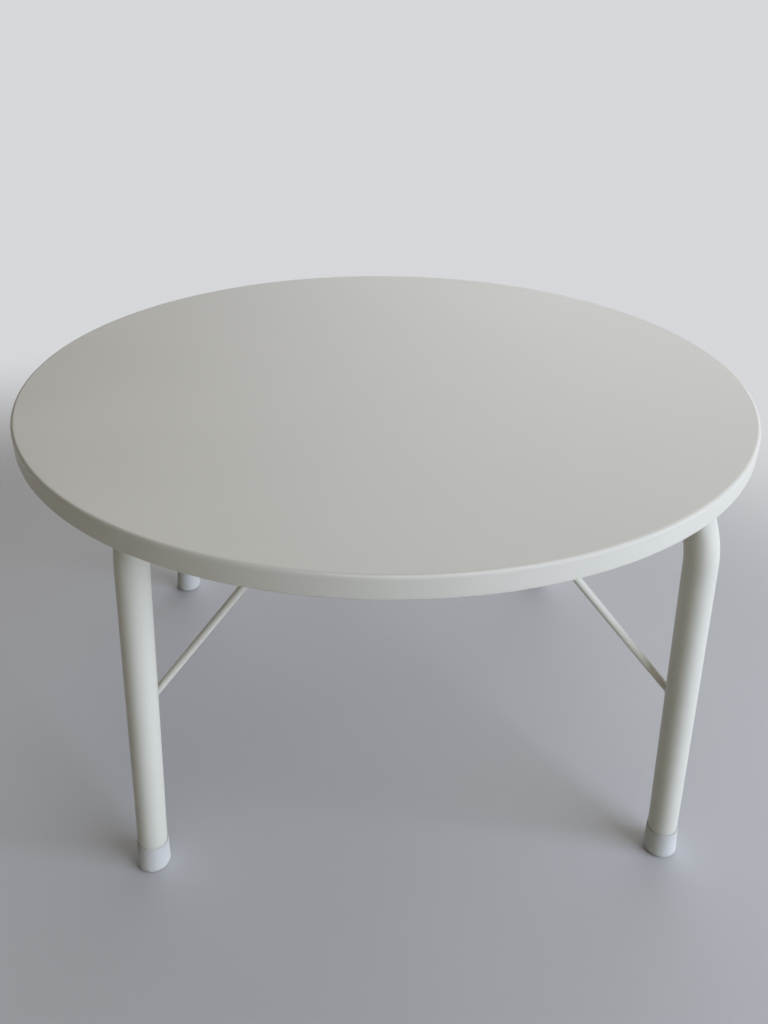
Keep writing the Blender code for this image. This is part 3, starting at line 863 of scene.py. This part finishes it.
def strap_path(inner, sheet, length, drop, fold, corner):
    """The middle of a strip in X and Z, from one ear round its loop to the other ear."""
    loop = inner + sheet / 2
    ear = -TOUCH_GAP - sheet / 2
    half = length / 2
    end = [half - corner * (1 - math.cos(math.radians(turn))) for turn in EAR_CORNER_TURNS]
    middle = [(-x, ear) for x in end]
    middle += arc((-loop - fold, ear - fold), fold, 90, 0, STRAP_FOLD_STEPS)
    middle += arc((0, -drop), loop, 180, 360, STRAP_LOOP_STEPS)
    middle += arc((loop + fold, ear - fold), fold, 180, 90, STRAP_FOLD_STEPS)
    middle += [(x, ear) for x in end[::-1]]
    return [Vector((x, 0, z)) for x, z in middle]


def strap_mesh(path, sheet, width, corner):
    """A strip swept along its path, with rolled edges and rounded ear corners."""
    bm = bmesh.new()
    y_axis = Vector((0, 1, 0))
    thick = sheet / 2 - STRAP_EDGE
    tip = abs(path[0].x)
    rings = []
    for point, along in zip(path, path_directions(path)):
        from_tip = min(tip - abs(point.x), corner)
        cut_back = corner - math.sqrt(max(0.0, corner**2 - (corner - from_tip) ** 2))
        reach = width / 2 - cut_back - STRAP_EDGE
        normal = along.cross(y_axis)
        ring = []
        for turn, a, b in STRAP_EDGES:
            bend = arc((a * reach, b * thick), STRAP_EDGE, turn, turn + 90, STRAP_EDGE_STEPS)
            ring += [bm.verts.new(point + y_axis * out + normal * up) for out, up in bend]
        rings.append(ring)
    bm.faces.new(rings[0][::-1])
    bm.faces.new(rings[-1])
    join_rings(bm, rings, False)
    return finish_mesh("strap", bm)


def make_strap(name, mesh, place, studs, paint, node):
    """A strap under the panel, with a drilled hole in each ear for its stud."""
    strap = new_piece(name, mesh, paint, Matrix.Translation(place))
    spacing, radius, sheet = studs
    for way in (-1, 1):
        bore, end = radius + TOUCH_GAP, -sheet * 3
        outline = [(0, sheet), (bore, sheet), (bore, end), (0, end)]
        drill = turned_mesh("ear_hole", outline, STRAP_HOLE_SIDES)
        cut(strap, drill, Matrix.Translation((place[0] + way * spacing / 2, place[1], place[2])))
    stand_in(strap, "top", "pan_paint", node)


def make_saddles(side, paint):
    inner = BLOCK_RADIUS + TOUCH_GAP
    sizes = (inner, SADDLE_SHEET, SADDLE_LENGTH, SADDLE_DROP, SADDLE_FOLD, SADDLE_CORNER)
    studs = (SADDLE_STUD_SPACING, SADDLE_STUD_RADIUS, SADDLE_SHEET)
    for end in ENDS:
        mesh = strap_mesh(strap_path(*sizes), SADDLE_SHEET, SADDLE_WIDTH, SADDLE_CORNER)
        place = (SIDES[side] * HINGE_X, saddle_y(side, end), PANEL_UNDERSIDE)
        name = f"{side}_{end}_saddle"
        make_strap(f"{name}_strap", mesh, place, studs, paint, name)


def make_clips(side, paint):
    inner = STAY_RADIUS + TOUCH_GAP
    sizes = (inner, CLIP_SHEET, CLIP_LENGTH, PIN_DROP, CLIP_FOLD, CLIP_CORNER)
    studs = (CLIP_STUD_SPACING, CLIP_STUD_RADIUS, CLIP_SHEET)
    for end in ENDS:
        mesh = strap_mesh(strap_path(*sizes), CLIP_SHEET, CLIP_WIDTH, CLIP_CORNER)
        place = (SIDES[side] * PIN_X, clip_y(side, end), PANEL_UNDERSIDE)
        make_strap(f"{side}_{end}_clip_strap", mesh, place, studs, paint, f"{side}_{end}_stay_clip")


def block_outline(inset):
    """The bearing block's section, drawn in by an inset for its chamfered ends."""
    bore = TUBE_RADIUS + TOUCH_GAP + inset
    outer = BLOCK_RADIUS - inset
    half_slit = BLOCK_SLIT / 2 + inset
    outer_turn = math.degrees(math.asin(half_slit / outer))
    bore_turn = math.degrees(math.asin(half_slit / bore))
    centre, top = (0, -SADDLE_DROP), -TOUCH_GAP - inset
    outline = [(-outer, top), *arc(centre, outer, 180, 270 - outer_turn, BLOCK_OUTER_STEPS)]
    outline += arc(centre, bore, 270 - bore_turn, bore_turn - 90, BLOCK_BORE_STEPS)
    outline += arc(centre, outer, outer_turn - 90, 0, BLOCK_OUTER_STEPS)
    return [*outline, (outer, top)]


def block_mesh():
    bm = bmesh.new()
    half = BLOCK_WIDTH / 2
    stations = [(-half, BLOCK_EDGE), (BLOCK_EDGE - half, 0)]
    stations += [(half - BLOCK_EDGE, 0), (half, BLOCK_EDGE)]
    rings = []
    for y, inset in stations:
        rings.append([bm.verts.new((x, y, z)) for x, z in block_outline(inset)])
    join_rings(bm, rings, False)
    bm.faces.new(rings[0][::-1])
    bm.faces.new(rings[-1])
    return finish_mesh("bearing_block", bm)


def make_blocks(side, plastic):
    for end in ENDS:
        place = (SIDES[side] * HINGE_X, saddle_y(side, end), PANEL_UNDERSIDE)
        name = f"{side}_{end}_bearing_block"
        block = new_piece(name, block_mesh(), plastic, Matrix.Translation(place))
        stand_in(block, "top", "block_plastic", f"{side}_{end}_saddle_block")


def nut_mesh(width, height, bore):
    """A hexagon nut with both faces chamfered and a countersunk thread."""
    bm = bmesh.new()
    apothem = width / 2
    rings = []
    for depth in [height * share for share in NUT_DEPTH_SHARES]:
        limit = apothem * NUT_FACE_SHARE + min(depth, height - depth) / math.tan(NUT_CHAMFER)
        ring = []
        for i in range(NUT_SIDES):
            turn = math.tau * i / NUT_SIDES
            hexagon = apothem / math.cos((turn % (math.pi / 3)) - math.pi / 6)
            reach = min(hexagon, limit)
            ring.append(bm.verts.new((reach * math.cos(turn), reach * math.sin(turn), -depth)))
        rings.append(ring)
    sink = bore * NUT_SINK_SHARE
    inside = [(bore + sink, -height), (bore, sink - height), (bore, -sink), (bore + sink, 0)]
    rings += turned_rings(bm, inside, NUT_SIDES)
    join_rings(bm, rings, True)
    return finish_mesh("nut", bm)


def make_nuts(side, finish):
    """Two nuts on each saddle and two on each clip of one side."""
    saddle = (SADDLE_NUT, SADDLE_STUD_RADIUS, HINGE_X, SADDLE_STUD_SPACING, SADDLE_SHEET, saddle_y)
    clip = (CLIP_NUT, CLIP_STUD_RADIUS, PIN_X, CLIP_STUD_SPACING, CLIP_SHEET, clip_y)
    for end in ENDS:
        for kind, sizes in (("saddle", saddle), ("clip", clip)):
            size, stud, middle, spacing, sheet, line = sizes
            height = PANEL_UNDERSIDE - TOUCH_GAP - sheet - TOUCH_GAP
            for letter, way in (("inner", -1), ("outer", 1)):
                place = (SIDES[side] * (middle + way * spacing / 2), line(side, end), height)
                name = f"{side}_{end}_{kind}_{letter}"
                mesh = nut_mesh(*size, stud + TOUCH_GAP)
                nut = new_piece(f"{name}_hex_nut", mesh, finish, Matrix.Translation(place))
                stand_in(nut, "top", "zinc_plate", f"{name}_nut")


def make_camera():
    """The camera of the photograph, from its place, its three angles and its lens."""
    camera = bpy.data.objects.new("camera", bpy.data.cameras.new("camera"))
    bpy.context.scene.collection.objects.link(camera)
    bpy.context.scene.camera = camera
    camera.data.sensor_width = SENSOR
    camera.data.lens = FOCAL_PIXELS * SENSOR / PHOTO_HEIGHT
    x, y, level = -math.sin(CAMERA_YAW), math.cos(CAMERA_YAW), math.cos(CAMERA_PITCH)
    ahead = Vector((x * level, y * level, -math.sin(CAMERA_PITCH)))
    right = Vector((y, -x, 0))
    up = right.cross(ahead)
    cosine, sine = math.cos(CAMERA_ROLL), math.sin(CAMERA_ROLL)
    right, up = right * cosine + up * sine, up * cosine - right * sine
    turn = Matrix((right, up, -ahead)).transposed().to_4x4()
    camera.matrix_world = Matrix.Translation(CAMERA_PLACE) @ turn
    camera.data.clip_start, camera.data.clip_end = CAMERA_REACH


def ray_kinds(wire):
    """Wires that are 1 for the camera's own rays, for mirrored ones and for those through glass."""
    kinds = ("Is Camera Ray", "Is Glossy Ray", "Is Transmission Ray")
    return [wire.make("ShaderNodeLightPath", {}, {}, kind) for kind in kinds]


def floor_surface(tree, place, shader):
    """The floor near the table, and the pale one far off, which only direct rays see."""
    seen, mirrored, through = ray_kinds(place)
    direct = seen + mirrored + through
    shade = place.noise(FLOOR_SCALE).ramp(*EVEN_NOISE)
    colour = direct.blend(rgba(FLOOR_BOUNCE), shade.shades(FLOOR_COLOUR, *FLOOR_SHADES))
    rough = FLOOR_ROUGHNESS + place.noise(TOOTH_SCALE) * TOOTH_ROUGHNESS
    plain = {"Specular IOR Level": FLOOR_SPECULAR}
    set_shader(shader, {"Base Color": colour, "Roughness": rough}, plain)
    near = Wire(tree, shader.outputs[0])
    pale = place.make("ShaderNodeEmission", {}, {"Color": rgba(BACKDROP_COLOUR)})
    x, y = place.part("X") - FLOOR_MIDDLE[0], place.part("Y") - FLOOR_MIDDLE[1]
    far = place.math("SQRT", x * x + y * y).ramp(*FAR_FLOOR)
    return place.make("ShaderNodeMixShader", {}, {0: far * direct, 1: near, 2: pale})


def floor_finish():
    """A plain floor. It is clear from underneath, and under the soles that stand on it."""
    made, place, shader = new_finish("floor_laminate")
    tree = made.node_tree
    solid = floor_surface(tree, place, shader)
    below = place.make("ShaderNodeNewGeometry", {}, {}, "Backfacing")
    reach = place.make("ShaderNodeLightPath", {}, {}, "Ray Length")
    touching = reach.ramp(CONTACT_GAP, CONTACT_GAP / 2)
    clear = place.make("ShaderNodeBsdfTransparent", {}, {})
    inputs = {0: place.math("MAXIMUM", below, touching), 1: solid, 2: clear}
    surface = place.make("ShaderNodeMixShader", {}, inputs)
    tree.links.new(surface.socket, tree.nodes["Material Output"].inputs["Surface"])
    return made


def make_floor():
    bm = bmesh.new()
    bmesh.ops.create_circle(bm, cap_ends=True, segments=FLOOR_SIDES, radius=FLOOR_RADIUS)
    mesh = bpy.data.meshes.new("floor")
    bm.to_mesh(mesh)
    bm.free()
    new_piece("floor", mesh, floor_finish())


def make_lamp():
    """A broad soft lamp that looks at the table. Neither the camera nor a mirrored ray sees it."""
    light = bpy.data.lights.new("side_lamp", "AREA")
    lamp = bpy.data.objects.new("side_lamp", light)
    bpy.context.scene.collection.objects.link(lamp)
    light.shape = "RECTANGLE"
    light.size, light.size_y = LAMP_SIZE
    light.energy = LAMP_POWER
    light.color = LAMP_COLOUR
    lamp.visible_camera = False
    lamp.visible_glossy = False
    lamp.rotation_mode = "QUATERNION"
    lamp.location = LAMP_PLACE
    lamp.rotation_quaternion = (Vector(LAMP_PLACE) - TABLE_MIDDLE).to_track_quat("Z", "Y")


def make_surroundings():
    """A dim world, paler above and behind, whose plain backdrop is all that the camera sees."""
    world = bpy.data.worlds.new("surroundings")
    bpy.context.scene.world = world
    world.use_nodes = True
    tree = world.node_tree
    toward = Wire(tree).make("ShaderNodeTexCoord", {}, {}, "Generated")
    ahead, right, above = toward.part("Y"), toward.part("X"), toward.part("Z")
    seen, mirrored, through = ray_kinds(toward)
    unseen = 1 - seen
    colour = above.ramp(*ABOVE_EDGES).blend(rgba(AROUND_COLOUR), rgba(ABOVE_COLOUR))
    colour = (seen + mirrored + through).blend(colour, rgba(BACKDROP_COLOUR))
    colour = (ahead.ramp(*BEHIND_EDGES) * unseen).blend(colour, rgba(BEHIND_COLOUR))
    dim = (right + above * LEFT_TILT).ramp(*LEFT_EDGES)
    colour = (dim * unseen).blend(colour, rgba(LEFT_COLOUR))
    high = above.ramp(*HIGH_EDGES) * ahead.ramp(*FRONT_EDGES) * (1 - dim)
    colour = (high * mirrored).blend(colour, rgba(HIGH_GLOW))
    aim = (Vector(LAMP_PLACE) - TABLE_MIDDLE).normalized()
    nearness = ahead * aim.y + right * aim.x + above * aim.z
    lamp_face = nearness.ramp(*LAMP_GLOW_EDGES) * mirrored
    colour = lamp_face.blend(colour, rgba(LAMP_GLOW))
    tree.links.new(colour.socket, tree.nodes["Background"].inputs["Color"])


def make_table():
    """Every piece of the table, from the finishes that its pieces share."""
    pan_enamel = enamel("pan_enamel", PAN_PAINT, hem_grime)
    strap_enamel = enamel("strap_enamel", PAN_PAINT, strap_grime, STRAP_ROUGHNESS)
    tube_enamels = {
        "left": enamel("left_tube_enamel", TUBE_PAINT, left_leg_grime),
        "right": enamel("right_tube_enamel", TUBE_PAINT, right_leg_grime),
    }
    wire_enamel = enamel("wire_enamel", WIRE_PAINT, wire_grime, WIRE_ROUGHNESS)
    cap_finish = moulded_plastic("cap_plastic_white", CAP_PLASTIC, cap_grime)
    block_finish = moulded_plastic("block_plastic_pale", BLOCK_PLASTIC)
    zinc = zinc_plate("zinc_plated_steel", ZINC)
    make_pan(pan_enamel)
    make_studs(zinc)
    for side in SIDES:
        make_frame(side, tube_enamels[side])
        make_caps(side, cap_finish)
        make_stays(side, wire_enamel)
        make_saddles(side, strap_enamel)
        make_clips(side, strap_enamel)
        make_blocks(side, block_finish)
        make_nuts(side, zinc)


def main():
    bpy.context.scene.view_settings.view_transform = "Standard"
    make_camera()
    make_lamp()
    make_surroundings()
    make_floor()
    make_table()


main()
